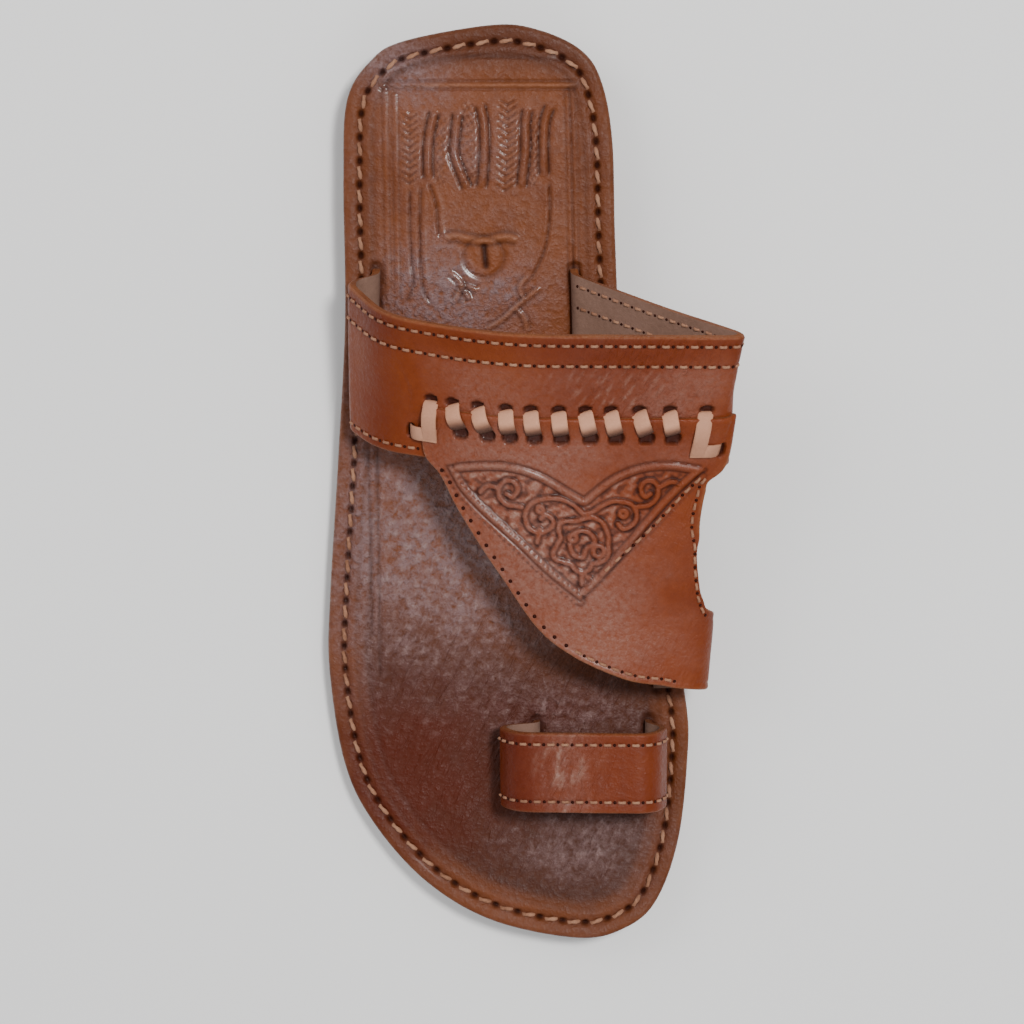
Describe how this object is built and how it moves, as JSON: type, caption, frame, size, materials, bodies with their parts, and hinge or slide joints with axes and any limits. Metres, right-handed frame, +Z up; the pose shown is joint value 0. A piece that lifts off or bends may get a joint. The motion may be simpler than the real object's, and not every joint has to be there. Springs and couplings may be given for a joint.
{
  "type": "toe-loop sandal",
  "caption": "Low leather sandal for the right foot: instep band laced to a tooled front panel that tapers to the inner side, an open inner cut-out and a loop for the big toe.",
  "frame": {"origin": "on the floor, at the middle of the flat underside of the heel", "axes": "+Y along the sole from the heel to the toe, +X to the outer side of the foot, +Z up"},
  "size_m": [0.1221, 0.275, 0.0602],
  "materials": {
    "outsole": "stacked sole leather, edges stained brown, matt",
    "footbed": "orange-brown vegetable-tanned leather with a purple-grey bloom, darker towards the toe, soft sheen",
    "strap": "smooth tan-brown waxed leather, sheen on its bends, greige lining inside",
    "thong": "flat undyed cream-pink thong, matt"
  },
  "bodies": {
    "root": {"outsole": "outsole", "footbed": "footbed", "upper": "strap", "toe_loop": "strap", "lacing_thong": "thong"}
  },
  "joints": []
}
